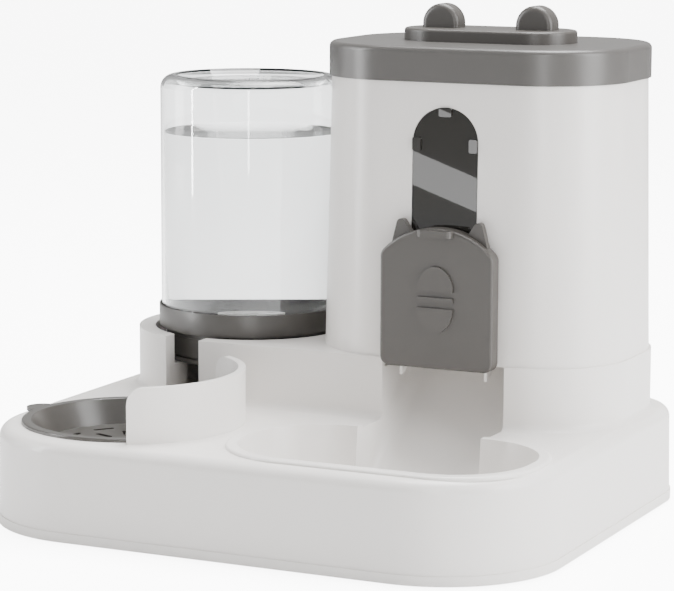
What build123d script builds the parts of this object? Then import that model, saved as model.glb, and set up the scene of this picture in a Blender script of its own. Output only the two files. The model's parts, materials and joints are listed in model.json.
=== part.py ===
from build123d import *
import os
from math import cos, degrees, radians, sin, sqrt, tan

# Pet food and water feeder: a base with a food bowl and a water bowl, a kibble hopper
# with a lift gate, and an inverted water bottle with a spring valve in its cap.
# Frame: millimetres, origin on the floor under the middle of the base,
# +X to the right, +Y to the back, +Z up.

# Driving dimensions of the base
base_width = 310.0
base_depth = 262.0
front_corner_radius = 64.0
rear_corner_radius = 40.0
base_top = 52.0
base_edge_radius = 6.0
base_draft_deg = 1.0
wall = 2.4
foot_height = 1.5
foot_radius = 8.0
foot_recess = 1.0
foot_x = 118.0
foot_y = 96.0
cover_thickness = 2.5
band_height = 5.0
band_step = 0.7
cover_lip_height = 3.0
lip_clearance = 0.4
boss_radius = 4.5
boss_corner_inset = 7.0
boss_side_inset = 14.0
boss_front_inset = 15.0
boss_rear_inset = 19.0
left_boss_y = 20.0
right_boss_y = 2.0
front_boss_x = -24.0
deck_boss_x = -6.0
screw_radius = 1.5
screw_head_radius = 3.2
screw_head_height = 1.6
screw_length = 14.0
screw_clearance = 0.1

# Deck that carries the hopper and the bottle
deck_top = 85.0
deck_left = -80.5
deck_front = 0.0
deck_blend_radius = 4.0
deck_flange_clearance = 0.2
nest_depth = 5.5

# Bottle seat
seat_outer_radius = 62.5
seat_wall = 9.0
seat_ledge_z = 68.0
seat_pocket_radius = 41.0
seat_pocket_floor = 40.0
seat_slot_width = 22.5
post_radius = 4.0

# Hopper, its draft and its place
feed_x = 61.5
hopper_width = 168.0
hopper_depth = 122.4
hopper_corner_radius = 47.0
hopper_top = 229.0
hopper_draft_deg = 1.25
hopper_wall = 2.2
collar_step = 1.3
nest_clearance = 0.4
side_slope_deg = 40.0
back_slope_deg = 30.0
funnel_foot_depth = 34.0
outlet_width = 46.0
outlet_bottom = 88.0
outlet_top = 128.0
cheek_drop = 9.0
cheek_length = 16.0
cheek_thickness = 1.6

# Lid and its handle
lid_overhang = 1.5
lid_height = 18.0
lid_wall = 2.4
lid_skirt_extra = 1.6
lid_edge_radius = 3.0
lid_seat_gap = 0.2
plug_depth = 11.0
plug_clearance = 1.2
seal_height = 3.0
seal_groove_depth = 1.2
handle_length = 95.0
handle_depth = 44.0
handle_height = 6.5
handle_edge_radius = 1.5
ear_spacing = 53.0
ear_radius = 10.5
ear_height = 12.7
ear_thickness = 13.0
ear_edge_radius = 3.0

# Window in the hopper's front
window_width = 36.6
window_top = 216.6
window_bottom = 150.0
window_clearance = 0.25
clip_length = 7.0
clip_width = 4.6
clip_height = 1.2

# Lift gate and its rails
gate_width = 63.0
gate_bottom = 82.3
gate_shoulder_z = 141.8
gate_crown_z = 155.5
gate_thickness = 8.0
gate_skin = 2.0
gate_gap = 0.5
gate_corner_radius = 5.0
gate_edge_radius = 1.4
rail_height = 3.6
rail_width = 2.2
rail_flange = 2.0
rail_flange_height = 1.2
rail_root = 2.5
rail_clearance = 0.5
rail_bottom = 90.0
rail_top = 140.5
hook_height = 12.0
hook_setback = 1.5
grip_width = 20.0
grip_height = 13.0
grip_bar_height = 2.6
grip_gap = 3.0
grip_relief = 1.2
grip_z = 118.6
gate_lip_width = 19.0
gate_lip_height = 3.5
gate_lip_reach = 4.0
gate_ear_thickness = 4.0

# Food bowl, its rim bead and the chute behind it
bowl_x = 64.5
bowl_y = -73.0
bowl_width = 156.0
bowl_depth = 88.0
bowl_corner_radius = 41.0
bowl_floor_z = 16.0
bowl_draft_deg = 7.0
bowl_fillet = 9.0
rim_width = 5.0
rim_height = 1.6
chute_left = 28.5
chute_right = 97.0
chute_top_y = 40.0
chute_top_z = 77.0
chute_foot_y = -22.0
chute_bend_radius = 22.0
chute_side_radius = 9.0

# Water basin, bowl insert and splash guard
basin_x = -88.0
basin_y = -62.0
basin_radius = 54.0
basin_floor_z = 14.0
basin_fillet = 8.0
insert_clearance = 0.8
insert_flange_radius = 56.3
insert_flange_height = 1.8
insert_wall = 1.6
insert_inner_radius = 51.8
insert_floor_z = 41.0
insert_floor_radius = 45.0
insert_slot_length = 12.0
insert_slot_width = 3.0
insert_slot_count = 10
insert_slot_ring = 34.0
insert_tab_reach = 8.0
insert_tab_width = 16.0
guard_inner_radius = 56.8
guard_thickness = 3.8
guard_top = 80.5
guard_from_deg = -62.0
guard_to_deg = 66.0
guard_corner_radius = 9.0
guard_tab_width = 10.0
guard_tab_depth = 5.0
guard_tab_thickness = 1.6
guard_tab_clearance = 0.3
guard_tab_angles = (-45.0, 2.0, 49.0)

# Water bottle, cap and valve
bottle_radius = 50.0
bottle_wall = 1.8
bottle_top = 224.5
bottle_edge_radius = 7.0
punt_radius = 37.5
punt_depth = 3.5
neck_radius = 44.0
neck_wall = 2.0
shoulder_low_z = 88.0
shoulder_high_z = 98.0
cap_radius = 47.2
cap_wall = 2.0
cap_floor = 2.2
cap_height = 17.0
cap_seat_gap = 0.3
cap_thread_gap = 0.5
cap_flange_height = 2.6
cap_groove_height = 1.0
cap_groove_depth = 1.4
cap_top_band = 3.0
cap_top_step = 0.7
gasket_height = 1.6
valve_hole_radius = 7.0
valve_disc_radius = 10.5
valve_disc_height = 2.0
valve_seal_height = 1.5
valve_pin_radius = 2.6
valve_travel = 3.0
valve_tip_z = 60.0
valve_tip_gap = 0.3
cage_ring_radius = 14.0
cage_top_height = 24.0
cage_leg_width = 4.0
cage_thickness = 2.0
spring_radius = 5.2
spring_wire_radius = 0.55
spring_turns = 4.0
spring_seat_gap = 0.3

# Places that follow from the sizes above
feed_y = deck_front + collar_step + hopper_depth / 2
bottle_x = deck_left
bottle_y = deck_front + seat_outer_radius
seat_inner_radius = seat_outer_radius - seat_wall
cover_bottom = foot_height
seam_z = foot_height + band_height
lid_bottom = hopper_top + lid_seat_gap
lid_top = lid_bottom + lid_height
handle_top = lid_top + handle_height
cap_bottom = seat_ledge_z + cap_seat_gap
cap_top = cap_bottom + cap_height
cap_floor_top = cap_bottom + cap_floor
hopper_shrink = tan(radians(hopper_draft_deg)) * (hopper_top - deck_top)
slot_left = bottle_x - seat_slot_width
deck_boss = (deck_boss_x, base_depth / 2 - boss_rear_inset)


def plate_outline(inset):
    """Plan outline of the base, wide front corners and tighter rear ones."""
    face = Rectangle(base_width - 2 * inset, base_depth - 2 * inset)
    face = fillet(face.vertices().group_by(Axis.Y)[0], front_corner_radius - inset)
    return fillet(face.vertices().group_by(Axis.Y)[-1], rear_corner_radius - inset)


def slab(face, low, high, taper=0.0):
    """A plan face raised from one height to another."""
    return extrude(Pos(0, 0, low) * face, high - low, taper=taper)


def disc(x, y, radius, low, high):
    """A round column standing at x, y."""
    return Pos(x, y, (low + high) / 2) * Cylinder(radius, high - low)


def block(x0, x1, y0, y1, z0, z1):
    """A plain box between two corners."""
    centre = Pos((x0 + x1) / 2, (y0 + y1) / 2, (z0 + z1) / 2)
    return centre * Box(x1 - x0, y1 - y0, z1 - z0)


def corner_boss(side_x, side_y, corner_radius):
    """Place of a screw boss on the diagonal of one rounded corner of the base."""
    reach = (corner_radius - boss_corner_inset) / sqrt(2)
    x = side_x * (base_width / 2 - corner_radius + reach)
    y = side_y * (base_depth / 2 - corner_radius + reach)
    return x, y


def boss_points():
    """Places of the screw bosses: three corners, both sides, the front and one under the deck."""
    side_x = base_width / 2 - boss_side_inset
    return [corner_boss(-1, -1, front_corner_radius), corner_boss(-1, 1, rear_corner_radius),
            corner_boss(1, 1, rear_corner_radius), (-side_x, left_boss_y), (side_x, right_boss_y),
            (front_boss_x, boss_front_inset - base_depth / 2), deck_boss]


def hopper_face(inset):
    """Plan outline of the hopper at deck height, drawn in by inset."""
    outline = RectangleRounded(hopper_width - 2 * inset, hopper_depth - 2 * inset,
                               hopper_corner_radius - inset)
    return Pos(feed_x, feed_y) * outline


def bowl_space(grow):
    """The food bowl's hollow, or that hollow grown by a wall."""
    face = RectangleRounded(bowl_width + 2 * grow, bowl_depth + 2 * grow,
                            bowl_corner_radius + grow)
    top = base_top + 10.0
    drop = top - bowl_floor_z + grow
    hollow = extrude(Pos(bowl_x, bowl_y, top) * face, -drop, taper=bowl_draft_deg)
    return fillet(hollow.edges().group_by(Axis.Z)[0], bowl_fillet)


def basin_space(grow):
    """The water basin's hollow, or that hollow grown by a wall."""
    hollow = disc(basin_x, basin_y, basin_radius + grow, basin_floor_z - grow, base_top + 10.0)
    return fillet(hollow.edges().group_by(Axis.Z)[0], basin_fillet)


def chute_space(grow):
    """Space over the ramp that runs from under the hopper down into the food bowl."""
    run = chute_top_y - chute_foot_y
    rise = chute_top_z - bowl_floor_z
    lean = sqrt(run * run + rise * rise) / run
    low = bowl_floor_z - grow
    foot = chute_foot_y + grow * (lean - 1) * run / rise
    front = bowl_y
    top = deck_top + 5.0
    back = chute_top_y + grow
    path = FilletPolyline((front, low), (foot, low), (back, chute_top_z), radius=chute_bend_radius + grow)
    edge = Polyline((back, chute_top_z), (back, top), (front, top), (front, low))
    profile = Plane.YZ * make_face(path.edges() + edge.edges())
    space = Pos(chute_left - grow, 0, 0) * extrude(profile, chute_right - chute_left + 2 * grow)
    sides = [space.faces().sort_by(Axis.X)[0], space.faces().sort_by(Axis.X)[-1]]
    long_edges = [e for side in sides for e in side.edges()
                  if e.center().Z < chute_top_z - 1.0 and e.center().Y > front + 1.0]
    return fillet(long_edges, chute_side_radius + grow)


def deck_outline():
    """Plan outline of the deck: the collar under the hopper, the bridge and the bottle seat."""
    collar = hopper_face(-collar_step)
    bridge_width = feed_x - deck_left
    bridge = Pos(deck_left + bridge_width / 2, bottle_y) * Rectangle(bridge_width, 2 * seat_outer_radius)
    seat = Pos(bottle_x, bottle_y) * Circle(seat_outer_radius)
    return collar + bridge + seat


def guard_arc(inner, outer, low, high, from_deg, to_deg):
    """Part of a ring standing round the water bowl."""
    ring = Circle(outer) - Circle(inner)
    reach = outer * 3
    mid = (from_deg + to_deg) / 2
    half = (to_deg - from_deg) / 2
    corners = [(0, 0)]
    for step in (-1.0, -0.5, 0.5, 1.0):
        angle = radians(mid + step * half)
        corners.append((reach * cos(angle), reach * sin(angle)))
    wedge = make_face(Polyline(*corners, close=True))
    return Pos(basin_x, basin_y, low) * extrude(ring & wedge, high - low)


def rim_bead(low, high):
    """Prism over the raised rim round the food bowl."""
    rim = RectangleRounded(bowl_width + 2 * rim_width, bowl_depth + 2 * rim_width,
                           bowl_corner_radius + rim_width)
    return slab(Pos(bowl_x, bowl_y) * rim, low, high)


def make_housing():
    """Upper housing as a whole: side walls, bowls, bottle seat, ramp and the hopper's collar."""
    body = slab(plate_outline(band_step), seam_z, base_top, taper=base_draft_deg)
    body = fillet(body.faces().sort_by(Axis.Z)[-1].edges(), base_edge_radius)
    body += slab(deck_outline(), base_top - 10.0, deck_top)
    joint_edges = [e for e in body.edges().filter_by_position(Axis.Z, base_top - 0.01, base_top + 0.01)
                   if e.center().Y > deck_front - 1.0 and abs(e.center().X) < base_width / 2 - 8.0
                   and e.center().Y < base_depth / 2 - 5.5]
    body = fillet(joint_edges, deck_blend_radius)

    inside = slab(plate_outline(band_step + wall), seam_z - 1.0, base_top - wall)
    inside += slab(offset(deck_outline(), -wall), base_top - 15.0, deck_top - nest_depth - wall)
    kept = bowl_space(wall) + basin_space(wall) + chute_space(wall)
    kept += disc(bottle_x, bottle_y, seat_inner_radius + wall, seat_ledge_z - wall, deck_top)
    kept += disc(bottle_x, bottle_y, seat_pocket_radius + wall, seat_pocket_floor - wall, deck_top)
    kept += block(slot_left - wall, bottle_x + wall, basin_y, bottle_y, seat_pocket_floor - wall, deck_top)
    for x, y in boss_points():
        kept += disc(x, y, boss_radius, cover_bottom + cover_thickness + 0.2, deck_top)
    body -= inside - kept

    bead = rim_bead(base_top - 0.5, base_top + rim_height)
    bead = fillet(bead.edges().group_by(Axis.Z)[-1], rim_height * 0.9)
    body += bead
    body -= bowl_space(0.0) + chute_space(0.0)
    body -= basin_space(0.0)
    body -= block(slot_left, bottle_x, basin_y, bottle_y, seat_pocket_floor, deck_top + 5.0)
    body -= disc(bottle_x, bottle_y, seat_inner_radius, seat_ledge_z, deck_top + 5.0)
    body -= disc(bottle_x, bottle_y, seat_pocket_radius, seat_pocket_floor, deck_top + 5.0)
    body -= slab(hopper_face(hopper_wall - nest_clearance), deck_top - nest_depth, deck_top + 5.0)
    body += disc(bottle_x, bottle_y, post_radius, seat_pocket_floor - 0.5, valve_tip_z)

    pilot_top = cover_bottom + cover_thickness + screw_length + 1.0
    for x, y in boss_points():
        body -= disc(x, y, screw_radius + screw_clearance, 0.0, pilot_top)
    for angle in guard_tab_angles:
        body -= guard_tab(angle, guard_tab_clearance, base_top + 1.0)
    return body


def housing_zones():
    """Space of each part of the one-piece housing, in the order in which they are cut from it."""
    deck_plan = offset(deck_outline(), deck_blend_radius + deck_flange_clearance)
    deck_plan = deck_plan & plate_outline(band_step + wall + 0.5)
    seat = disc(bottle_x, bottle_y, seat_inner_radius + wall, 0.0, deck_top + 1.0)
    basin = disc(basin_x, basin_y, basin_radius + wall, 0.0, base_top)
    basin += block(slot_left - wall, bottle_x + wall, basin_y, bottle_y, 0.0, base_top)
    bowl = bowl_space(wall) & slab(plate_outline(0.0), 0.0, base_top)
    bowl += rim_bead(base_top, base_top + rim_height + 1.0)
    deck = slab(deck_plan, base_top - wall, deck_top + 1.0)
    deck += disc(*deck_boss, boss_radius, 0.0, deck_top)
    return {"bottle_seat": seat, "water_basin": basin, "food_bowl": bowl,
            "food_chute": chute_space(wall), "deck_housing": deck}


def make_housing_pieces():
    """The housing cut into its bowls, ramp, seat and deck, and the outer shell round them."""
    rest = make_housing()
    pieces = {}
    for name, zone in housing_zones().items():
        pieces[name] = rest & zone
        rest -= zone
    pieces["base_shell"] = rest
    return pieces


def guard_tab(angle, clearance, high):
    """One snap tab under the splash guard, or the slot that takes it."""
    middle = guard_inner_radius + guard_thickness / 2
    thick = guard_tab_thickness / 2 + clearance
    half = degrees(guard_tab_width / 2 / middle) + degrees(clearance / middle)
    low = base_top - guard_tab_depth - clearance
    return guard_arc(middle - thick, middle + thick, low, high, angle - half, angle + half)


def make_bottom_cover():
    """Bottom cover: the plate, the band seen under the seam and a lip inside the shell."""
    cover = slab(plate_outline(0.0), cover_bottom, seam_z)
    cover -= slab(plate_outline(wall + band_step), cover_bottom + cover_thickness, seam_z + 1.0)
    inner = wall + band_step + lip_clearance
    lip = slab(plate_outline(inner), cover_bottom + cover_thickness - 0.5, seam_z + cover_lip_height)
    lip -= slab(plate_outline(inner + 1.6), 0.0, seam_z + cover_lip_height + 1.0)
    cover += lip
    for x, y in boss_points():
        cover -= disc(x, y, boss_radius + 0.4, cover_bottom + cover_thickness, seam_z + 6.0)
        cover -= disc(x, y, screw_radius + 0.3, 0.0, seam_z)
        cover -= disc(x, y, screw_head_radius + 0.3, 0.0, cover_bottom + screw_head_height)
    for x, y in foot_points():
        cover -= disc(x, y, foot_radius + 0.1, 0.0, cover_bottom + foot_recess)
    return cover


def foot_points():
    """Places of the four feet."""
    return [(sx * foot_x, sy * foot_y) for sx in (-1, 1) for sy in (-1, 1)]


def make_feet():
    """Four rubber feet, rounded below, glued into the cover's recesses."""
    feet = []
    for x, y in foot_points():
        foot = disc(x, y, foot_radius, 0.0, cover_bottom + foot_recess)
        feet.append(fillet(foot.edges().group_by(Axis.Z)[0], 0.6))
    return Compound(feet)


def screw(x, y, head_low, length, radius, head_radius, head_height):
    """Pan-head screw that points up, its head's underside at head_low."""
    head = disc(x, y, head_radius, head_low, head_low + head_height)
    head = fillet(head.edges().group_by(Axis.Z)[0], head_height * 0.4)
    shank = disc(x, y, radius, head_low + head_height, head_low + head_height + length)
    shank = chamfer(shank.edges().group_by(Axis.Z)[-1], radius * 0.5)
    drive = disc(x, y, head_radius * 0.4, head_low - 1.0, head_low + head_height * 0.5)
    return head + shank - drive


def make_cover_screws():
    """Screws that hold the cover to the shell's bosses."""
    low = cover_bottom + 0.1
    return Compound([screw(x, y, low, screw_length, screw_radius, screw_head_radius,
                           screw_head_height - 0.1) for x, y in boss_points()])


def make_splash_guard():
    """Curved wall between the two bowls, with rounded top corners."""
    outer = guard_inner_radius + guard_thickness
    arc = guard_arc(guard_inner_radius, outer, base_top, guard_top, guard_from_deg, guard_to_deg)
    ends = []
    for angle in (guard_from_deg, guard_to_deg):
        a = radians(angle)
        spot = Vector(basin_x + outer * cos(a), basin_y + outer * sin(a), guard_top)
        ends.append(min(arc.edges(), key=lambda e: (e.center() - spot).length))
    return fillet(ends, guard_corner_radius)


def make_guard_tabs():
    """Three snap tabs on the guard's foot that sit in the base's slots."""
    return Compound([guard_tab(angle, 0.0, base_top) for angle in guard_tab_angles])


def make_bowl_insert():
    """Lift-out drinking bowl with a flange, a sloped wall, a slotted floor and a finger tab."""
    flange_low = base_top
    flange_high = base_top + insert_flange_height
    body_radius = basin_radius - insert_clearance
    floor_low = insert_floor_z - insert_wall
    outside = make_face(Polyline((0, floor_low), (insert_floor_radius + insert_wall, floor_low),
                                 (body_radius, flange_low), (insert_flange_radius, flange_low),
                                 (insert_flange_radius, flange_high), (0, flange_high), close=True))
    inside = make_face(Polyline((0, insert_floor_z), (insert_floor_radius, insert_floor_z),
                                (insert_inner_radius, flange_high + 1.0), (0, flange_high + 1.0), close=True))
    bowl = revolve(Plane.XZ * (outside - inside), Axis.Z)
    bowl = fillet(bowl.edges().group_by(Axis.Z)[-1], insert_flange_height * 0.35)
    slot = extrude(SlotOverall(insert_slot_length, insert_slot_width), insert_wall + 2.0)
    for i in range(insert_slot_count):
        turn = Rot(0, 0, 360.0 * i / insert_slot_count)
        bowl -= turn * Pos(insert_slot_ring, 0, floor_low - 1.0) * Rot(0, 0, 90) * slot
        inner_turn = Rot(0, 0, 360.0 * (i + 0.5) / insert_slot_count)
        bowl -= inner_turn * Pos(insert_slot_ring * 0.6, 0, floor_low - 1.0) * slot
    bowl = Pos(basin_x, basin_y, 0) * bowl
    tab = SlotOverall(2 * (insert_flange_radius + insert_tab_reach), insert_tab_width)
    left_half = Pos(-insert_flange_radius, 0) * Rectangle(insert_flange_radius, insert_tab_width)
    tab = extrude(tab & left_half, insert_flange_height)
    tab -= Cylinder(insert_inner_radius + insert_wall, 4 * insert_flange_height)
    return bowl + Pos(basin_x, basin_y, base_top) * Rot(0, 0, -4) * tab


def make_bottle():
    """Clear bottle, upside down: a straight wall, a sunk end on top and a wide neck below."""
    neck_low = cap_floor_top + gasket_height

    def half(r, neck_r, low, top, edge, punt_r, punt):
        shoulder = ThreePointArc((neck_r, shoulder_low_z), ((neck_r + r) / 2 + 1.4, shoulder_low_z + 3.2),
                                 (r, shoulder_high_z))
        lines = [Line((0, low), (neck_r, low)), Line((neck_r, low), (neck_r, shoulder_low_z)), shoulder,
                 Line((r, shoulder_high_z), (r, top - edge)),
                 RadiusArc((r, top - edge), (r - edge, top), -edge),
                 Line((r - edge, top), (punt_r + punt, top)),
                 Line((punt_r + punt, top), (punt_r, top - punt)),
                 Line((punt_r, top - punt), (0, top - punt)),
                 Line((0, top - punt), (0, low))]
        return make_face(lines)

    outside = half(bottle_radius, neck_radius, neck_low, bottle_top, bottle_edge_radius,
                   punt_radius, punt_depth)
    inside = half(bottle_radius - bottle_wall, neck_radius - neck_wall, neck_low - 1.0,
                  bottle_top - bottle_wall, bottle_edge_radius - bottle_wall,
                  punt_radius + bottle_wall * (sqrt(2) - 1), punt_depth)
    body = revolve(Plane.XZ * outside, Axis.Z) - revolve(Plane.XZ * inside, Axis.Z)
    return Pos(bottle_x, bottle_y, 0) * body


def make_cap():
    """Smooth screw cap: a foot flange, a groove, a skirt, a stepped top band and the valve port."""
    groove_low = cap_bottom + cap_flange_height
    groove_high = groove_low + cap_groove_height
    step_z = cap_top - cap_top_band
    hollow_radius = neck_radius + cap_thread_gap
    profile = make_face(Polyline((valve_hole_radius, cap_bottom), (cap_radius, cap_bottom),
                                 (cap_radius, groove_low), (cap_radius - cap_groove_depth, groove_low),
                                 (cap_radius - cap_groove_depth, groove_high), (cap_radius, groove_high),
                                 (cap_radius, step_z), (cap_radius - cap_top_step, step_z),
                                 (cap_radius - cap_top_step, cap_top), (hollow_radius, cap_top),
                                 (hollow_radius, cap_floor_top), (valve_hole_radius, cap_floor_top),
                                 close=True))
    cap = revolve(Plane.XZ * profile, Axis.Z)
    for angle in (0, 120, 240):
        slot = Pos(cage_ring_radius - cage_thickness / 2, 0, cap_floor_top) \
            * Box(cage_thickness + 0.2, cage_leg_width + 0.2, 2.0)
        cap -= Rot(0, 0, angle) * slot
    return Pos(bottle_x, bottle_y, 0) * cap


def make_gasket():
    """Flat sealing ring between the bottle's mouth and the cap."""
    ring = disc(0, 0, neck_radius, cap_floor_top, cap_floor_top + gasket_height)
    ring -= disc(0, 0, neck_radius - neck_wall - 1.5, 0.0, bottle_top)
    return Pos(bottle_x, bottle_y, 0) * ring


def seal_low_z():
    """Underside of the valve seal while the post holds the valve open."""
    return cap_floor_top + valve_travel


def make_valve_stem():
    """Valve disc with a pin below that the post lifts and a pin above that guides the spring."""
    disc_low = seal_low_z() + valve_seal_height
    stem = disc(0, 0, valve_disc_radius, disc_low, disc_low + valve_disc_height)
    stem += disc(0, 0, valve_pin_radius, valve_tip_z + valve_tip_gap, disc_low + 0.5)
    stem += disc(0, 0, valve_pin_radius, disc_low, disc_low + valve_disc_height + 6.0)
    return Pos(bottle_x, bottle_y, 0) * stem


def make_valve_seal():
    """Soft washer under the valve disc."""
    low = seal_low_z()
    ring = disc(0, 0, valve_disc_radius, low, low + valve_seal_height)
    ring -= disc(0, 0, valve_pin_radius, 0.0, bottle_top)
    return Pos(bottle_x, bottle_y, 0) * ring


def make_valve_cage():
    """Three-legged cage that snaps into the cap and holds the spring's upper end."""
    top = cap_floor_top + cage_top_height
    ring = disc(0, 0, cage_ring_radius, top - cage_thickness, top)
    ring -= disc(0, 0, valve_pin_radius + 0.6, 0.0, bottle_top)
    for angle in (0, 120, 240):
        leg = block(cage_ring_radius - cage_thickness, cage_ring_radius, -cage_leg_width / 2,
                    cage_leg_width / 2, cap_floor_top - 1.0, top - 0.5)
        ring += Rot(0, 0, angle) * leg
    for angle in (60, 180, 300):
        ring -= Rot(0, 0, angle) * Pos(cage_ring_radius * 0.7, 0, top) * Cylinder(2.6, 4 * cage_thickness)
    return Pos(bottle_x, bottle_y, 0) * ring


def spring_span():
    """Heights of the spring's wire centre at its lower and upper end."""
    low = seal_low_z() + valve_seal_height + valve_disc_height + spring_wire_radius + spring_seat_gap
    high = cap_floor_top + cage_top_height - cage_thickness - spring_wire_radius - spring_seat_gap
    return low, high


def make_valve_spring():
    """Open coil spring round the upper pin, one unbroken wire."""
    low, high = spring_span()
    pitch = (high - low) / spring_turns
    print("valve spring: least gap between turns", round(pitch - 2 * spring_wire_radius, 2), "mm")
    path = Helix(pitch, high - low, spring_radius)
    start = path @ 0
    section = Plane(origin=start, z_dir=path % 0) * Circle(spring_wire_radius)
    wire = sweep(section, path=path)
    return Pos(bottle_x, bottle_y, low) * wire


def funnel(grow):
    """Space over the hopper's sloped floor, or that space grown by the floor's wall."""
    low = outlet_bottom - grow
    top = hopper_top + 5.0
    foot_y = deck_front + collar_step + hopper_wall + funnel_foot_depth + grow
    reach = max(hopper_width, hopper_depth)
    side_rise = reach * tan(radians(side_slope_deg))
    back_rise = reach * tan(radians(back_slope_deg))
    front_y = deck_front - 10.0
    from_side = make_face(Polyline((front_y, low), (foot_y, low), (foot_y + reach, low + back_rise),
                                   (foot_y + reach, low + back_rise + top), (front_y, low + back_rise + top),
                                   close=True))
    half = outlet_width / 2 + grow
    from_front = make_face(Polyline((-half, low), (half, low), (half + reach, low + side_rise),
                                    (half + reach, low + side_rise + top),
                                    (-half - reach, low + side_rise + top),
                                    (-half - reach, low + side_rise), close=True))
    along_x = Pos(feed_x - reach, 0, 0) * extrude(Plane.YZ * from_side, 2 * reach)
    along_y = Pos(feed_x, feed_y + reach, 0) * extrude(Plane.XZ * from_front, 2 * reach)
    return along_x & along_y


def window_arch(clearance):
    """Arched window shape as a prism through the hopper's front wall."""
    half = window_width / 2 - clearance
    spring_z = window_top - window_width / 2
    low = window_bottom + clearance
    arch = make_face([Line((feed_x - half, low), (feed_x + half, low)),
                      Line((feed_x + half, low), (feed_x + half, spring_z)),
                      ThreePointArc((feed_x + half, spring_z), (feed_x, spring_z + half),
                                    (feed_x - half, spring_z)),
                      Line((feed_x - half, spring_z), (feed_x - half, low))])
    return Pos(0, deck_front + 20.0, 0) * extrude(Plane.XZ * arch, 30.0)


def hopper_skin():
    """The hopper's tapered outer form and the space within its wall."""
    outside = slab(hopper_face(0.0), deck_top, hopper_top, taper=hopper_draft_deg)
    inside = slab(hopper_face(hopper_wall), deck_top, hopper_top, taper=hopper_draft_deg)
    return outside, inside


def make_hopper():
    """Hopper's drafted tub with its front outlet, gate rails and nesting skirt."""
    outside, inside = hopper_skin()
    skirt = slab(hopper_face(hopper_wall), deck_top - nest_depth + 0.3, deck_top + 1.0)
    skirt -= slab(hopper_face(2 * hopper_wall), deck_top - nest_depth - 1.0, deck_top + 2.0)
    skirt -= block(chute_left - 1.0, chute_right + 1.0, deck_front - 10.0, deck_front + 30.0,
                   deck_top - nest_depth - 1.0, deck_top + 0.01)
    tub = outside - inside + skirt
    tub -= block(feed_x - outlet_width / 2, feed_x + outlet_width / 2, deck_front - 5.0,
                 deck_front + funnel_foot_depth / 2, outlet_bottom, outlet_top)
    tub -= window_arch(0.0)
    for side in (-1, 1):
        tub += gate_rail(side)
    return tub


def make_hopper_pieces():
    """The tub and the sloped floor that joins its wall."""
    tub = make_hopper()
    slopes = hopper_skin()[1] & (funnel(hopper_wall) - funnel(0.0))
    for side in (-1, 1):
        slopes += spout_cheek(side)
    return {"feed_hopper": tub, "hopper_funnel": slopes - tub}


def spout_cheek(side):
    """Three-sided fin under the outlet that keeps kibble on the ramp."""
    y = deck_front + collar_step + hopper_wall
    fin = make_face(Polyline((y, outlet_bottom), (y + cheek_length, outlet_bottom),
                             (y + cheek_length, deck_top - 1.0), (y, deck_top - cheek_drop), close=True))
    x = feed_x + side * (outlet_width / 2 + cheek_thickness / 2)
    return Pos(x - cheek_thickness / 2, 0, 0) * extrude(Plane.YZ * fin, cheek_thickness)


def gate_rail(side):
    """One T-section rail on the hopper's front for the gate's hooks."""
    x = feed_x + side * (outlet_width / 2 + rail_width)
    front = deck_front + collar_step - rail_height
    web_back = deck_front + collar_step + rail_root
    web = block(x - rail_width / 2, x + rail_width / 2, front, web_back, rail_bottom, rail_top)
    edge = x + side * (rail_width / 2 + rail_flange)
    flange = block(min(x, edge), max(x, edge), front, front + rail_flange_height, rail_bottom, rail_top)
    return web + flange


def make_window():
    """Smoked window set flush in the hopper's front, with its three clips."""
    outside, inside = hopper_skin()
    pane = (outside - inside) & window_arch(window_clearance)
    spring_z = window_top - window_width / 2
    slope = tan(radians(hopper_draft_deg))

    def clip(x, z, wide, high):
        face_y = deck_front + collar_step + (z - deck_top) * slope
        body = Pos(x, face_y - clip_height / 2 + 0.4, z) * Box(wide, clip_height + 0.8, high)
        return fillet(body.edges().filter_by(Axis.Y), 1.0)

    reach = window_width / 2 - window_clearance - clip_width / 2
    pane += clip(feed_x - reach, spring_z - 1.0, clip_width, clip_length)
    pane += clip(feed_x + reach, spring_z - 1.0, clip_width, clip_length)
    pane += clip(feed_x, window_top - window_clearance - clip_width / 2, clip_length, clip_width)
    return pane


def make_lid():
    """Lid with an outer skirt on the hopper's rim and a plug that carries the seal."""
    outer = slab(hopper_face(hopper_shrink - lid_overhang), lid_bottom, lid_top)
    outer = fillet(outer.faces().sort_by(Axis.Z)[-1].edges(), lid_edge_radius)
    skirt_inset = hopper_shrink - lid_overhang + lid_wall + lid_skirt_extra
    outer -= slab(hopper_face(skirt_inset), lid_bottom - 1.0, lid_top - lid_wall)
    plug_inset = hopper_shrink + hopper_wall + plug_clearance
    plug = slab(hopper_face(plug_inset), lid_bottom - plug_depth, lid_top - lid_wall + 0.5)
    plug -= slab(hopper_face(plug_inset + lid_wall), 0.0, lid_top - lid_wall)
    lid = outer + plug
    lid -= seal_ring(0.0)
    for x, y in handle_screw_points():
        lid -= disc(x, y, screw_radius + 0.3, 0.0, lid_top + 1.0)
    return lid


def seal_ring(clearance):
    """Ring space round the lid's plug."""
    plug_inset = hopper_shrink + hopper_wall + plug_clearance
    low = lid_bottom - plug_depth + 2.5 + clearance
    high = low + seal_height - 2 * clearance
    ring = slab(hopper_face(plug_inset - plug_clearance + 0.3), low, high)
    return ring - slab(hopper_face(plug_inset + seal_groove_depth), low - 1.0, high + 1.0)


def make_lid_seal():
    """Soft seal in the plug's groove."""
    return seal_ring(0.05)


def handle_screw_points():
    """Places of the two screws under the handle."""
    return [(feed_x + side * handle_length / 4, feed_y) for side in (-1, 1)]


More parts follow.
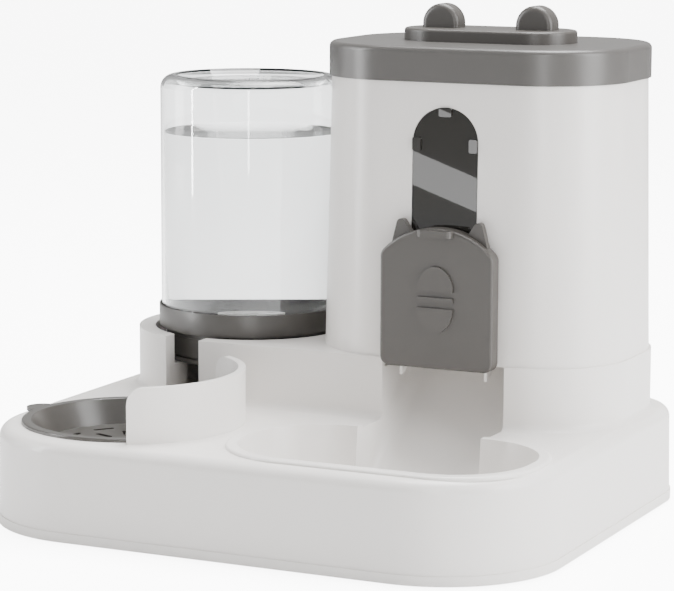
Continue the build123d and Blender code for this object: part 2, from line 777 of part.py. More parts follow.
def make_handle():
    """Long low grip on the lid with two half-round ears."""
    pad = SlotOverall(handle_length, handle_depth)
    grip = extrude(Pos(feed_x, feed_y, lid_top) * pad, handle_height)
    grip = fillet(grip.edges().group_by(Axis.Z)[-1], handle_edge_radius)
    for side in (-1, 1):
        x = feed_x + side * ear_spacing / 2
        centre_z = handle_top + ear_height - ear_radius
        shape = Pos(x, centre_z) * Circle(ear_radius)
        stem = Rectangle(2 * ear_radius, centre_z - handle_top + 1.0)
        shape += Pos(x, (centre_z + handle_top) / 2 - 0.5) * stem
        ear = Pos(0, feed_y + ear_thickness / 2, 0) * extrude(Plane.XZ * shape, ear_thickness)
        ear -= block(x - 20, x + 20, feed_y - 20, feed_y + 20, 0.0, handle_top - 0.5)
        rim = [e for e in ear.edges() if e.center().Z > handle_top + 2.0
               and abs(abs(e.center().Y - feed_y) - ear_thickness / 2) < 0.1]
        grip += fillet(rim, ear_edge_radius)
    for x, y in handle_screw_points():
        grip -= disc(x, y, screw_radius + screw_clearance, lid_top - 1.0, lid_top + handle_height - 1.5)
    return grip


def make_handle_screws():
    """Two screws that hold the handle from inside the lid."""
    head_low = lid_top - lid_wall - screw_head_height - 0.05
    length = lid_wall + handle_height - 2.2
    return Compound([screw(x, y, head_low, length, screw_radius, screw_head_radius, screw_head_height)
                     for x, y in handle_screw_points()])


def gate_outline(inset):
    """Front outline of the gate: straight sides, rounded foot and an arched top."""
    half = gate_width / 2 - inset
    low = gate_bottom + inset
    crown = gate_crown_z - inset
    face = make_face([Line((-half, low), (half, low)), Line((half, low), (half, gate_shoulder_z)),
                      ThreePointArc((half, gate_shoulder_z), (0, crown), (-half, gate_shoulder_z)),
                      Line((-half, gate_shoulder_z), (-half, low))])
    face = fillet(face.vertices().group_by(Axis.Y)[0], gate_corner_radius - inset)
    return fillet(face.vertices().group_by(Axis.Y)[-1], 6.0 - inset)


def front_slab(face, front_y, depth):
    """A face drawn in X and Z, given depth backwards from front_y."""
    return Pos(feed_x, front_y + depth, 0) * extrude(Plane.XZ * face, depth)


def make_gate():
    """Lift gate: a shallow hollow plate with a finger lip, grips, two ears and four hooks."""
    back = deck_front + collar_step - gate_gap
    front = back - gate_thickness
    plate = front_slab(gate_outline(0.0), front, gate_thickness)
    plate = fillet(plate.faces().sort_by(Axis.Y)[0].edges(), gate_edge_radius)
    plate -= front_slab(gate_outline(gate_skin), front + gate_skin, gate_thickness)
    web_x = outlet_width / 2 + rail_width * 1.5
    for side in (-1, 1):
        inner = web_x + rail_clearance
        outer = gate_width / 2 - gate_skin + 0.5
        x0, x1 = sorted((feed_x + side * inner, feed_x + side * outer))
        rail_front = deck_front + collar_step - rail_height
        hook_front = rail_front + rail_flange_height + rail_clearance
        hook_low = rail_bottom + hook_setback
        plate += block(x0, x1, hook_front, back, hook_low, hook_low + hook_height)
        notch = sorted((feed_x + side * (web_x - rail_width - rail_clearance),
                        feed_x + side * (web_x + rail_flange + rail_clearance)))
        plate -= block(*notch, rail_front - rail_clearance, back + 1.0,
                       gate_bottom - 1.0, gate_bottom + gate_skin + 1.0)

        ear = make_face([Line((side * 13.0, 148.0), (side * 28.0, 141.0)),
                         Line((side * 28.0, 141.0), (side * 22.5, 162.5)),
                         Line((side * 22.5, 162.5), (side * 13.0, 148.0))])
        tip = ear.vertices().sort_by(Axis.Y)[-1]
        ear = fillet(tip, 2.4)
        ear_solid = front_slab(ear, back - gate_ear_thickness, gate_ear_thickness)
        plate += ear_solid - front_slab(gate_outline(0.3), front - 1.0, gate_thickness + 5.0)
        plate += (ear_solid & front_slab(gate_outline(0.0), front + 1.0, gate_thickness)) \
            - front_slab(gate_outline(gate_skin), front + gate_skin, gate_thickness)

    lip = block(feed_x - gate_lip_width / 2, feed_x + gate_lip_width / 2, front - gate_lip_reach, front + 1.0,
                gate_crown_z - gate_lip_height - 0.8, gate_crown_z - 0.8)
    plate += fillet(lip.edges().filter_by(Axis.Z).group_by(Axis.Y)[0], 2.5)
    upper_half = Pos(0, grip_height / 2) * Rectangle(grip_width, grip_height)
    dome = Ellipse(grip_width / 2, grip_height) & upper_half
    for side, form in ((1, dome), (-1, mirror(dome, Plane.XZ))):
        egg = Pos(0, grip_z + side * (grip_bar_height / 2 + grip_gap)) * form
        plate += front_slab(egg, front - grip_relief, grip_relief + 0.5)
    bar = Pos(0, grip_z) * Rectangle(grip_width, grip_bar_height)
    plate += front_slab(bar, front - grip_relief, grip_relief + 0.5)
    return plate


PIECES = {
    "base_bottom_cover": make_bottom_cover,
    "rubber_feet": make_feet,
    "cover_screws": make_cover_screws,
    "splash_guard": make_splash_guard,
    "guard_tabs": make_guard_tabs,
    "water_bowl_insert": make_bowl_insert,
    "water_bottle": make_bottle,
    "bottle_cap": make_cap,
    "cap_gasket": make_gasket,
    "valve_stem": make_valve_stem,
    "valve_seal": make_valve_seal,
    "valve_cage": make_valve_cage,
    "valve_spring": make_valve_spring,
    "hopper_window": make_window,
    "hopper_lid": make_lid,
    "lid_seal": make_lid_seal,
    "lid_handle": make_handle,
    "handle_screws": make_handle_screws,
    "slide_gate": make_gate,
}

os.makedirs("parts", exist_ok=True)
solids = {**make_housing_pieces(), **make_hopper_pieces()}
for name, maker in PIECES.items():
    solids[name] = maker()
for name, solid in solids.items():
    export_step(solid, "parts/" + name + ".step")
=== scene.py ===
"""Looks of a pet food and water feeder, laid out as a Blender add-on and run as a script."""

import json
import math

import bmesh
import bpy
from mathutils import Matrix, Vector


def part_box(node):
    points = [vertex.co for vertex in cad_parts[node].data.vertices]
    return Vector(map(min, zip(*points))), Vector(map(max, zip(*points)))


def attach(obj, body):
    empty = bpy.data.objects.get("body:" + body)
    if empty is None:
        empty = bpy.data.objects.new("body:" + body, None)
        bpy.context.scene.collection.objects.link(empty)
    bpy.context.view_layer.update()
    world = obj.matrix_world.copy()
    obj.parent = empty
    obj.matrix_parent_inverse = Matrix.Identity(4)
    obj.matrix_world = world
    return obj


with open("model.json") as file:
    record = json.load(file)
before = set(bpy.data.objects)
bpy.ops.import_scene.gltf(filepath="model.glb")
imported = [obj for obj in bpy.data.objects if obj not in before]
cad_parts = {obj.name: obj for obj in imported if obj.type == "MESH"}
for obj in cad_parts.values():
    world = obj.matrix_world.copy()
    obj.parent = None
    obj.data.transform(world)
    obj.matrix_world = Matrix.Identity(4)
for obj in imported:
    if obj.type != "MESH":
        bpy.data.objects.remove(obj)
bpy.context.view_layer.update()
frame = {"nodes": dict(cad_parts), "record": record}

bl_info = {
    "name": "Pet feeder finish",
    "version": (1, 0, 0),
    "blender": (4, 5, 0),
    "location": "View3D > Sidebar > Feeder",
    "description": "Finishes, water and studio for a pet food and water feeder",
    "category": "Object",
}

WHITE_LIGHT = (1.0, 1.0, 1.0, 1.0)

# The water's outline in metres. It follows the bottle's inside, and a CAD node's box gives only the outside.
WALL_INSET = 0.0019  # in from the bottle's outside: its wall and a little room for facets
NECK_INSET = 0.0021  # in from the neck's outside, the same way
WATER_FLOOR = 0.0162  # over the bottle's lower end, just above the foot of its shoulder
NECK_FLARE = (0.002, 0.0022)  # out from the neck's bore, up from the water's floor
SHOULDER_EDGE = (0.001, 0.0062)  # in from the wall, up from the water's floor
WALL_START = 0.010  # up from the water's floor

# Edge of the water's surface in metres, and how far its middle lies under its level.
MENISCUS = (0.0006, 0.0003)
SURFACE_DIP = 0.0004

COLLAR_EDGE = 0.0004  # corner radius of the collar's section in metres


class FeederColours(bpy.types.PropertyGroup):
    """Colours of the moulded pieces, as linear values."""

    white: bpy.props.FloatVectorProperty(
        name="White plastic", description="Housing, hopper, guard and the valve's moulded pieces",
        subtype="COLOR", size=3, default=(0.80, 0.775, 0.748), min=0.0, max=1.0)
    grey: bpy.props.FloatVectorProperty(
        name="Grey plastic", description="Lid", subtype="COLOR", size=3,
        default=(0.074, 0.070, 0.066), min=0.0, max=1.0)
    # The gate's own grey. The lid's handle takes it too. The handle is the lid's grey plastic, so this
    # darker grey on it is painted shade for its shaded front.
    gate: bpy.props.FloatVectorProperty(
        name="Gate plastic", description="Lift gate and the lid's handle", subtype="COLOR", size=3,
        default=(0.060, 0.055, 0.050), min=0.0, max=1.0)
    insert: bpy.props.FloatVectorProperty(
        name="Insert plastic", description="Drinking bowl insert", subtype="COLOR", size=3,
        default=(0.060, 0.056, 0.051), min=0.0, max=1.0)
    cap: bpy.props.FloatVectorProperty(
        name="Cap plastic", description="Bottle cap and its collar", subtype="COLOR", size=3,
        default=(0.070, 0.065, 0.059), min=0.0, max=1.0)
    smoke: bpy.props.FloatVectorProperty(
        name="Window smoke", description="Smoked hopper window", subtype="COLOR", size=3,
        default=(0.022, 0.020, 0.017), min=0.0, max=1.0)


class FeederSizes(bpy.types.PropertyGroup):
    """Sizes of the pieces that the scene adds to the frame."""

    water_level: bpy.props.FloatProperty(
        name="Water level", description="Height of the water's surface over the floor", default=0.1935,
        unit="LENGTH", min=0.1, max=0.22)
    wall_gap: bpy.props.FloatProperty(
        name="Wall gap", description="Gap from the bottle's wall to the water inside and the collar outside",
        default=0.0001, unit="LENGTH", min=0.0)
    collar_width: bpy.props.FloatProperty(
        name="Collar width", description="Thickness of the cap's collar round the bottle", default=0.0011,
        unit="LENGTH", min=0.0005, max=0.0025)
    collar_height: bpy.props.FloatProperty(
        name="Collar height", description="Height of the cap's collar", default=0.0125,
        unit="LENGTH", min=0.004, max=0.02)


class FeederStudio(bpy.types.PropertyGroup):
    """Camera and light."""

    azimuth: bpy.props.FloatProperty(
        name="Azimuth", description="Camera's turn to the right", subtype="ANGLE",
        default=math.radians(25.847))
    elevation: bpy.props.FloatProperty(
        name="Elevation", description="Camera's height above the horizon", subtype="ANGLE",
        default=math.radians(9.408))
    roll: bpy.props.FloatProperty(
        name="Roll", description="Camera's tilt", subtype="ANGLE", default=math.radians(-0.13))
    distance: bpy.props.FloatProperty(
        name="Distance", description="Camera to its target", unit="LENGTH", default=1.45463)
    target: bpy.props.FloatVectorProperty(
        name="Target", description="Point that the camera looks at", subtype="XYZ", size=3,
        default=(-0.00023, -0.01751, 0.10834))
    lens: bpy.props.FloatProperty(
        name="Lens", description="Focal length in millimetres", unit="CAMERA", default=149.38)
    shift: bpy.props.FloatVectorProperty(
        name="Shift", description="Sensor shift across and up", size=2, default=(0.0277, 0.0271))
    ambient: bpy.props.FloatProperty(
        name="Ambient", description="Strength of the white surroundings as a light", default=0.58, min=0.0)
    floor_glow: bpy.props.FloatProperty(
        name="Floor glow", description="How far the floor and the backdrop are lifted towards white",
        default=8.0, min=0.0)
    through_glow: bpy.props.FloatProperty(
        name="Glow through glass", description="Share of the floor's glow seen through the bottle",
        subtype="FACTOR", default=0.3, min=0.0, max=1.0)


# Frame

def nodes_in(slot):
    """Names of the CAD nodes whose packed finish is one material slot."""
    return [part["node"] for part in frame["record"]["subparts"] if part["material_slot"] == slot]


def middle(node):
    """Centre of a CAD node's box."""
    low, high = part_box(node)
    return (low + high) / 2


def paint(nodes, material):
    """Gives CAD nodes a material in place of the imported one."""
    for name in nodes:
        for slot in frame["nodes"][name].material_slots:
            slot.link = "OBJECT"
            slot.material = material


# Shader nodes

def new_material(name):
    """A node material with its Principled shader."""
    material = bpy.data.materials.new(name)
    material.use_nodes = True
    tree = material.node_tree
    return material, tree, tree.nodes["Principled BSDF"]


def noise(tree, scale, detail, roughness=0.5):
    """A noise pattern on the piece's own coordinates; scale is a number or the socket that feeds it."""
    place = tree.nodes.new("ShaderNodeTexCoord")
    texture = tree.nodes.new("ShaderNodeTexNoise")
    texture.inputs["Detail"].default_value = detail
    texture.inputs["Roughness"].default_value = roughness
    tree.links.new(place.outputs["Object"], texture.inputs["Vector"])
    feed(tree, texture.inputs["Scale"], scale)
    return texture.outputs["Fac"]


def maths(tree, operation, *values):
    """A Math node's result; each value is a number or the socket that feeds it."""
    node = tree.nodes.new("ShaderNodeMath")
    node.operation = operation
    for socket, value in zip(node.inputs, values):
        feed(tree, socket, value)
    return node.outputs[0]


def feed(tree, socket, value):
    """Sets a socket to a number or links the socket that feeds it."""
    if isinstance(value, bpy.types.NodeSocket):
        tree.links.new(value, socket)
    else:
        socket.default_value = value


def bump(tree, shader, height, strength, distance):
    """Feeds the shader's normal from a height."""
    node = tree.nodes.new("ShaderNodeBump")
    node.inputs["Strength"].default_value = strength
    node.inputs["Distance"].default_value = distance
    tree.links.new(height, node.inputs["Height"])
    tree.links.new(node.outputs["Normal"], shader.inputs["Normal"])


def moulded_surface_group():
    """Shared effect: faint cloudiness, handling marks and surface grain."""
    group = bpy.data.node_groups.new("moulded_surface", "ShaderNodeTree")
    sockets = group.interface
    sockets.new_socket("Tint", in_out="INPUT", socket_type="NodeSocketColor")
    for label in ("Cloud", "Mean roughness", "Roughness change", "Grain scale"):
        sockets.new_socket(label, in_out="INPUT", socket_type="NodeSocketFloat")
    sockets.new_socket("Colour", in_out="OUTPUT", socket_type="NodeSocketColor")
    sockets.new_socket("Roughness", in_out="OUTPUT", socket_type="NodeSocketFloat")
    sockets.new_socket("Height", in_out="OUTPUT", socket_type="NodeSocketFloat")
    enter = group.nodes.new("NodeGroupInput").outputs
    leave = group.nodes.new("NodeGroupOutput").inputs

    cloud = maths(group, "SUBTRACT", noise(group, scale=22.0, detail=3.0), 0.5)
    tinted = group.nodes.new("ShaderNodeVectorMath")
    tinted.operation = "SCALE"
    feed(group, tinted.inputs[0], enter["Tint"])
    feed(group, tinted.inputs["Scale"], maths(group, "MULTIPLY_ADD", cloud, enter["Cloud"], 1.0))
    feed(group, leave["Colour"], tinted.outputs["Vector"])

    marks = maths(group, "SUBTRACT", noise(group, scale=90.0, detail=5.0, roughness=0.7), 0.5)
    rough = maths(group, "MULTIPLY_ADD", marks, enter["Roughness change"], enter["Mean roughness"])
    feed(group, leave["Roughness"], rough)

    feed(group, leave["Height"], noise(group, scale=enter["Grain scale"], detail=2.0))
    return group


# Finishes

def moulded_plastic(name, colour, roughness, grain_depth, grain_scale, coat=0.0):
    """The shared surface effect on a plain shader; grain_depth is in metres."""
    material, tree, shader = new_material(name)
    surface = tree.nodes.new("ShaderNodeGroup")
    surface.node_tree = bpy.data.node_groups.get("moulded_surface") or moulded_surface_group()
    surface.inputs["Tint"].default_value = (*colour, 1.0)
    surface.inputs["Cloud"].default_value = 0.03
    surface.inputs["Mean roughness"].default_value = roughness
    surface.inputs["Roughness change"].default_value = 0.08
    surface.inputs["Grain scale"].default_value = grain_scale
    tree.links.new(surface.outputs["Colour"], shader.inputs["Base Color"])
    tree.links.new(surface.outputs["Roughness"], shader.inputs["Roughness"])
    bump(tree, shader, surface.outputs["Height"], strength=0.35, distance=grain_depth)
    shader.inputs["Coat Weight"].default_value = coat
    shader.inputs["Coat Roughness"].default_value = 0.12
    return material


def white_plastic(colours):
    """Satin white of the housing, hopper, guard and the valve's moulded pieces."""
    return moulded_plastic("white_moulded", colours.white, roughness=0.30, grain_depth=0.00002,
                           grain_scale=1500.0)


def grey_plastic(colours):
    """Warm grey of the lid."""
    return moulded_plastic("grey_moulded", colours.grey, roughness=0.34, grain_depth=0.00003,
                           grain_scale=1700.0)


def gate_plastic_and_handle_shade(colours):
    """Finely textured grey of the lift gate. The handle is the lid's grey plastic, and this darker grey on
    it is painted shade for its shaded front.
    """
    return moulded_plastic("gate_moulded_and_handle_shade", colours.gate, roughness=0.40, grain_depth=0.00004,
                           grain_scale=1900.0)


def insert_plastic(colours):
    """Glossy grey of the drinking bowl insert."""
    return moulded_plastic("insert_moulded", colours.insert, roughness=0.30, grain_depth=0.00001,
                           grain_scale=1200.0, coat=0.1)


def cap_plastic(colours):
    """Dark grey of the bottle's cap and its collar."""
    return moulded_plastic("cap_moulded", colours.cap, roughness=0.36, grain_depth=0.00003,
                           grain_scale=1500.0)


def seal_silicone():
    """Pale silicone of the seals."""
    return moulded_plastic("seal_silicone", (0.62, 0.62, 0.6), roughness=0.55, grain_depth=0.00002,
                           grain_scale=1300.0)


def foot_rubber():
    """Dark rubber feet."""
    return moulded_plastic("foot_rubber", (0.045, 0.045, 0.045), roughness=0.7, grain_depth=0.00006,
                           grain_scale=900.0)


def plated_steel():
    """Bright zinc on the screws and the spring."""
    material = moulded_plastic("plated_steel", (0.62, 0.62, 0.61), roughness=0.28, grain_depth=0.00001,
                               grain_scale=2500.0)
    material.node_tree.nodes["Principled BSDF"].inputs["Metallic"].default_value = 1.0
    return material


def smoked_window(colours):
    """Dark glossy window, smoked so that little of the hopper's inside shows."""
    material = moulded_plastic("smoked_window", colours.smoke, roughness=0.0, grain_depth=0.0000005,
                               grain_scale=400.0, coat=0.3)
    shader = material.node_tree.nodes["Principled BSDF"]
    shader.inputs["Transmission Weight"].default_value = 0.25
    shader.inputs["Coat Roughness"].default_value = 0.02
    return material


def clear_plastic(name, colour, roughness, ior):
    """Clear moulded plastic or water, with a hardly visible flow in its surface."""
    material, tree, shader = new_material(name)
    shader.inputs["Base Color"].default_value = (*colour, 1.0)
    shader.inputs["Roughness"].default_value = roughness
    shader.inputs["Transmission Weight"].default_value = 1.0
    shader.inputs["IOR"].default_value = ior
    bump(tree, shader, noise(tree, scale=30.0, detail=1.0), strength=0.12, distance=0.0004)
    return material


# Meshes

def finish_mesh(name, mesh, material):
    """Links a mesh at the origin and shades it smooth, apart from its sharp edges."""
    piece = bpy.data.objects.new(name, mesh)
    bpy.context.collection.objects.link(piece)
    mesh.materials.clear()
    mesh.materials.append(material)
    for polygon in mesh.polygons:
        polygon.use_smooth = True
    mesh.set_sharp_from_angle(angle=math.radians(40.0))
    return piece


def turned(name, profile, centre, material, steps=128):
    """A closed body of revolution about a vertical axis; the profile starts and ends on the axis."""
    mesh = bpy.data.meshes.new(name)
    form = bmesh.new()
    rings = []
    for radius, height in profile:
        if radius == 0.0:
            rings.append([form.verts.new((centre.x, centre.y, height))])
            continue
        ring = []
        for i in range(steps):
            angle = 2 * math.pi * i / steps
            ring.append(form.verts.new((centre.x + radius * math.cos(angle),
                                        centre.y + radius * math.sin(angle), height)))
        rings.append(ring)
    for lower, upper in zip(rings, rings[1:]):
        for i in range(steps):
            j = (i + 1) % steps
            if len(lower) == 1:
                form.faces.new((lower[0], upper[i], upper[j]))
            elif len(upper) == 1:
                form.faces.new((lower[i], upper[0], lower[j]))
            else:
                form.faces.new((lower[i], lower[j], upper[j], upper[i]))
    bmesh.ops.recalc_face_normals(form, faces=form.faces)
    form.to_mesh(mesh)
    form.free()
    return finish_mesh(name, mesh, material)


def ring_tree(material):
    """Geometry Nodes: a band of rectangular section with rounded corners, swept round a circle."""
    tree = bpy.data.node_groups.new("ring_band", "GeometryNodeTree")
    sockets = tree.interface
    sockets.new_socket("Geometry", in_out="OUTPUT", socket_type="NodeSocketGeometry")
    sockets.new_socket("Geometry", in_out="INPUT", socket_type="NodeSocketGeometry")
    sockets.new_socket("Centre", in_out="INPUT", socket_type="NodeSocketVector")
    for label in ("Radius", "Width", "Height", "Edge"):
        sockets.new_socket(label, in_out="INPUT", socket_type="NodeSocketFloat")
    sockets.new_socket("Steps", in_out="INPUT", socket_type="NodeSocketInt")
    nodes, links = tree.nodes, tree.links
    enter = nodes.new("NodeGroupInput")
    leave = nodes.new("NodeGroupOutput")
    circle = nodes.new("GeometryNodeCurvePrimitiveCircle")
    links.new(enter.outputs["Radius"], circle.inputs["Radius"])
    links.new(enter.outputs["Steps"], circle.inputs["Resolution"])
    section = nodes.new("GeometryNodeCurvePrimitiveQuadrilateral")
    links.new(enter.outputs["Width"], section.inputs["Width"])
    links.new(enter.outputs["Height"], section.inputs["Height"])
    rounded = nodes.new("GeometryNodeFilletCurve")
    rounded.mode = "POLY"
    rounded.inputs["Count"].default_value = 3
    links.new(enter.outputs["Edge"], rounded.inputs["Radius"])
    links.new(section.outputs["Curve"], rounded.inputs["Curve"])
    sweep = nodes.new("GeometryNodeCurveToMesh")
    links.new(circle.outputs["Curve"], sweep.inputs["Curve"])
    links.new(rounded.outputs["Curve"], sweep.inputs["Profile Curve"])
    place = nodes.new("GeometryNodeTransform")
    links.new(sweep.outputs["Mesh"], place.inputs["Geometry"])
    links.new(enter.outputs["Centre"], place.inputs["Translation"])
    real = nodes.new("GeometryNodeRealizeInstances")
    links.new(place.outputs["Geometry"], real.inputs["Geometry"])
    finish = nodes.new("GeometryNodeSetMaterial")
    finish.inputs["Material"].default_value = material
    links.new(real.outputs["Geometry"], finish.inputs["Geometry"])
    links.new(finish.outputs["Geometry"], leave.inputs["Geometry"])
    return tree


def ring_piece(name, material, sizes):
    """A plain mesh of the ring tree; sizes holds a value for each of the tree's named inputs."""
    maker = bpy.data.objects.new(name + "_maker", bpy.data.meshes.new(name + "_maker"))
    bpy.context.collection.objects.link(maker)
    modifier = maker.modifiers.new("ring", "NODES")
    modifier.node_group = ring_tree(material)
    for socket in modifier.node_group.interface.items_tree:
        if socket.in_out == "INPUT" and socket.name in sizes:
            modifier[socket.identifier] = sizes[socket.name]
    made = maker.evaluated_get(bpy.context.evaluated_depsgraph_get())
    mesh = bpy.data.meshes.new_from_object(made)
    mesh.name = name
    bpy.data.objects.remove(maker)
    form = bmesh.new()
    form.from_mesh(mesh)
    bmesh.ops.recalc_face_normals(form, faces=form.faces)
    form.to_mesh(mesh)
    form.free()
    return finish_mesh(name, mesh, material)


# Studio

def make_floor(studio):
    """Wide pale floor, lifted towards white where the camera sees it, and less so through the bottle."""
    mesh = bpy.data.meshes.new("studio_floor")
    form = bmesh.new()
    bmesh.ops.create_grid(form, x_segments=2, y_segments=2, size=25.0)
    form.to_mesh(mesh)
    form.free()
    material, tree, shader = new_material("studio_floor")
    shader.inputs["Base Color"].default_value = (0.9, 0.9, 0.9, 1.0)
    shader.inputs["Roughness"].default_value = 0.8
    shader.inputs["Emission Color"].default_value = WHITE_LIGHT
    path = tree.nodes.new("ShaderNodeLightPath").outputs
    seen = maths(tree, "MULTIPLY_ADD", path["Is Transmission Ray"], studio.through_glow,
                 path["Is Camera Ray"])
    feed(tree, shader.inputs["Emission Strength"], maths(tree, "MULTIPLY", seen, studio.floor_glow))
    floor = bpy.data.objects.new("studio_floor", mesh)
    mesh.materials.append(material)
    bpy.context.collection.objects.link(floor)


def make_world(studio):
    """White surroundings, lifted for the camera as far as the floor is."""
    world = bpy.data.worlds.new("studio")
    bpy.context.scene.world = world
    world.use_nodes = True
    tree = world.node_tree
    background = tree.nodes["Background"]
    background.inputs["Color"].default_value = WHITE_LIGHT
    path = tree.nodes.new("ShaderNodeLightPath").outputs
    strength = maths(tree, "MULTIPLY_ADD", path["Is Camera Ray"], studio.floor_glow, studio.ambient)
    feed(tree, background.inputs["Strength"], strength)


def area_light(name, place, aim, size, power):
    """A soft rectangular light that points at aim and that the camera doesn't see."""
    data = bpy.data.lights.new(name, "AREA")
    data.shape = "RECTANGLE"
    data.size, data.size_y = size
    data.energy = power
    lamp = bpy.data.objects.new(name, data)
    lamp.location = place
    lamp.visible_camera = False
    lamp.rotation_mode = "QUATERNION"
    lamp.rotation_quaternion = (Vector(aim) - Vector(place)).to_track_quat("-Z", "Y")
    bpy.context.collection.objects.link(lamp)
    return lamp


def reflected_light(name, place, aim, size, power):
    """An area light that shows only as a reflection."""
    lamp = area_light(name, place, aim, size, power)
    lamp.visible_diffuse = False
    lamp.visible_transmission = False
    return lamp


def make_lights():
    """An overhead softbox, a box on each side, two strips for the bottle and a card for the window."""
    centre = (0.0, 0.0, 0.1)
    area_light("overhead", place=(0.1, 0.35, 1.6), aim=centre, size=(1.1, 1.0), power=70.0)
    area_light("right_side", place=(1.5, -0.1, 0.6), aim=centre, size=(0.8, 1.2), power=38.0)
    area_light("left_side", place=(-1.5, -0.3, 0.6), aim=centre, size=(0.5, 1.2), power=10.0)
    bottle = (-0.08, 0.06, 0.16)
    strip = (0.06, 1.3)
    reflected_light("left_strip", place=(-1.1, -0.75, 0.35), aim=bottle, size=strip, power=26.0)
    reflected_light("right_strip", place=(0.55, -1.35, 0.35), aim=bottle, size=strip, power=12.0)
    window = middle("hopper_window")
    card_place = window + Vector((-0.49, -1.146, -0.10))
    card = reflected_light("window_card", card_place, window, size=(0.36, 0.030), power=0.16)
    card_turn = Matrix.Rotation(math.radians(-22.0), 3, "Z").to_quaternion()
    card.rotation_quaternion = card.rotation_quaternion @ card_turn


def make_camera(studio):
    """Camera at the photograph's viewing angle."""
    a, e = studio.azimuth, studio.elevation
    back = Vector((math.sin(a) * math.cos(e), -math.cos(a) * math.cos(e), math.sin(e)))
    right = Vector((math.cos(a), math.sin(a), 0.0))
    up = back.cross(right)
    roll = Matrix.Rotation(-studio.roll, 3, back)
    axes = Matrix((right, up, back)).transposed()
    data = bpy.data.cameras.new("camera")
    data.lens = studio.lens
    data.sensor_width = 36.0
    data.shift_x, data.shift_y = studio.shift
    data.clip_start, data.clip_end = 0.05, 50.0
    camera = bpy.data.objects.new("camera", data)
    place = Vector(studio.target) + back * studio.distance
    camera.matrix_world = Matrix.Translation(place) @ (roll @ axes).to_4x4()
    bpy.context.collection.objects.link(camera)
    bpy.context.scene.camera = camera


# Operators

class FEEDER_OT_moulded_finish(bpy.types.Operator):
    """Paint the moulded, rubber and metal pieces"""

    bl_idname = "feeder.moulded_finish"
    bl_label = "Moulded finish"

    def execute(self, context):
        colours = context.scene.feeder_colours
        paint(nodes_in("white_plastic"), white_plastic(colours))
        paint(("hopper_lid",), grey_plastic(colours))
        # The grey_gate slot holds the lid's handle too. Its grey, darker than the lid's, is painted shade
        # for the handle's shaded front.
        paint(nodes_in("grey_gate"), gate_plastic_and_handle_shade(colours))
        paint(("water_bowl_insert",), insert_plastic(colours))
        paint(("bottle_cap",), cap_plastic(colours))
        paint(nodes_in("soft_seal"), seal_silicone())
        paint(nodes_in("steel"), plated_steel())
        paint(("rubber_feet",), foot_rubber())
        return {"FINISHED"}


class FEEDER_OT_clear_finish(bpy.types.Operator):
    """Paint the bottle and the hopper's window"""

    bl_idname = "feeder.clear_finish"
    bl_label = "Clear finish"

    def execute(self, context):
        clear = clear_plastic("clear_bottle", (0.97, 0.98, 0.98), roughness=0.02, ior=1.45)
        paint(("water_bottle",), clear)
        paint(("hopper_window",), smoked_window(context.scene.feeder_colours))
        return {"FINISHED"}


class FEEDER_OT_water(bpy.types.Operator):
    """Fill the bottle with water from its shoulder up to the water level"""

    bl_idname = "feeder.water"
    bl_label = "Water"

    def execute(self, context):
        sizes = context.scene.feeder_sizes
        centre = middle("water_bottle")
        low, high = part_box("water_bottle")
        radius = (high.x - low.x) / 2 - WALL_INSET - sizes.wall_gap
        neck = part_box("cap_gasket")[1].x - centre.x - NECK_INSET - sizes.wall_gap
        floor = low.z + WATER_FLOOR
        flare_out, flare_up = NECK_FLARE
        edge_in, edge_up = SHOULDER_EDGE
        meniscus_in, meniscus_down = MENISCUS
        profile = [
            (0.0, floor),
            (neck, floor),
            (neck + flare_out, floor + flare_up),
            (radius - edge_in, floor + edge_up),
            (radius, floor + WALL_START),
            (radius, sizes.water_level),
            (radius - meniscus_in, sizes.water_level - meniscus_down),
            (0.0, sizes.water_level - SURFACE_DIP),
        ]
        material = clear_plastic("water", (0.80, 0.80, 0.80), roughness=0.0, ior=1.33)
        water = turned("water", profile, centre, material)
        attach(water, "bottle")
        return {"FINISHED"}


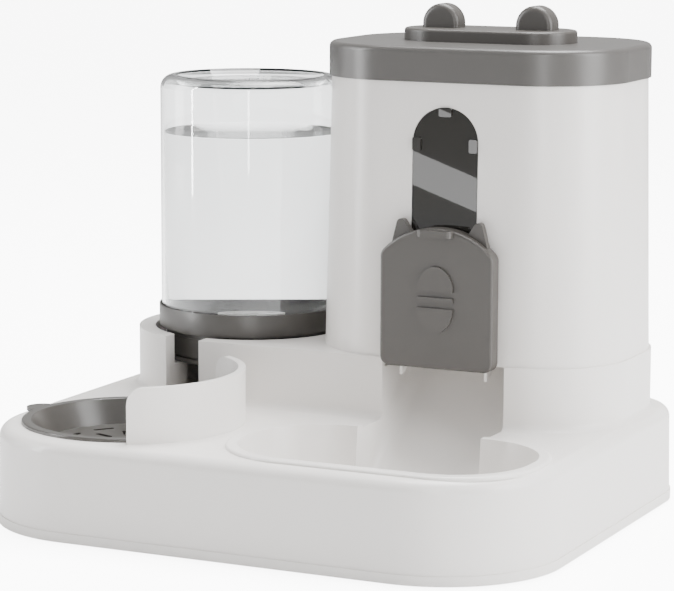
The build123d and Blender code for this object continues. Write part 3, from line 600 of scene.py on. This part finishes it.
class FEEDER_OT_cap_collar(bpy.types.Operator):
    """Add the cap's dark collar round the bottle's lower end"""

    bl_idname = "feeder.cap_collar"
    bl_label = "Cap collar"

    def execute(self, context):
        sizes = context.scene.feeder_sizes
        low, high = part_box("water_bottle")
        centre = middle("water_bottle")
        centre.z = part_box("bottle_cap")[1].z + sizes.collar_height / 2
        ring = {
            "Centre": centre,
            "Radius": (high.x - low.x) / 2 + sizes.wall_gap + sizes.collar_width / 2,
            "Width": sizes.collar_width,
            "Height": sizes.collar_height,
            "Edge": COLLAR_EDGE,
            "Steps": 160,
        }
        collar = ring_piece("cap_collar", cap_plastic(context.scene.feeder_colours), ring)
        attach(collar, "bottle")
        return {"FINISHED"}


class FEEDER_OT_stage(bpy.types.Operator):
    """Set up the floor, the surroundings, the lights and the camera"""

    bl_idname = "feeder.stage"
    bl_label = "Studio"

    def execute(self, context):
        studio = context.scene.feeder_studio
        make_floor(studio)
        make_world(studio)
        make_lights()
        make_camera(studio)
        return {"FINISHED"}


class FEEDER_PT_panel(bpy.types.Panel):
    """Sidebar panel that lists the feeder's steps"""

    bl_label = "Pet feeder"
    bl_idname = "FEEDER_PT_panel"
    bl_space_type = "VIEW_3D"
    bl_region_type = "UI"
    bl_category = "Feeder"

    def draw(self, context):
        for step in STEPS:
            self.layout.operator(step.bl_idname)


GROUPS = (FeederColours, FeederSizes, FeederStudio)
STEPS = (FEEDER_OT_moulded_finish, FEEDER_OT_clear_finish, FEEDER_OT_water, FEEDER_OT_cap_collar,
         FEEDER_OT_stage)


def register():
    """Registers the classes and their settings on the scene."""
    for cls in (*GROUPS, *STEPS, FEEDER_PT_panel):
        bpy.utils.register_class(cls)
    bpy.types.Scene.feeder_colours = bpy.props.PointerProperty(type=FeederColours)
    bpy.types.Scene.feeder_sizes = bpy.props.PointerProperty(type=FeederSizes)
    bpy.types.Scene.feeder_studio = bpy.props.PointerProperty(type=FeederStudio)


def unregister():
    """Takes the settings and the classes away again."""
    for name in ("feeder_colours", "feeder_sizes", "feeder_studio"):
        delattr(bpy.types.Scene, name)
    for cls in reversed((*GROUPS, *STEPS, FEEDER_PT_panel)):
        bpy.utils.unregister_class(cls)


def main():
    """Runs every step in order."""
    register()
    bpy.ops.feeder.moulded_finish()
    bpy.ops.feeder.clear_finish()
    bpy.ops.feeder.water()
    bpy.ops.feeder.cap_collar()
    bpy.ops.feeder.stage()


if __name__ == "__main__":
    main()
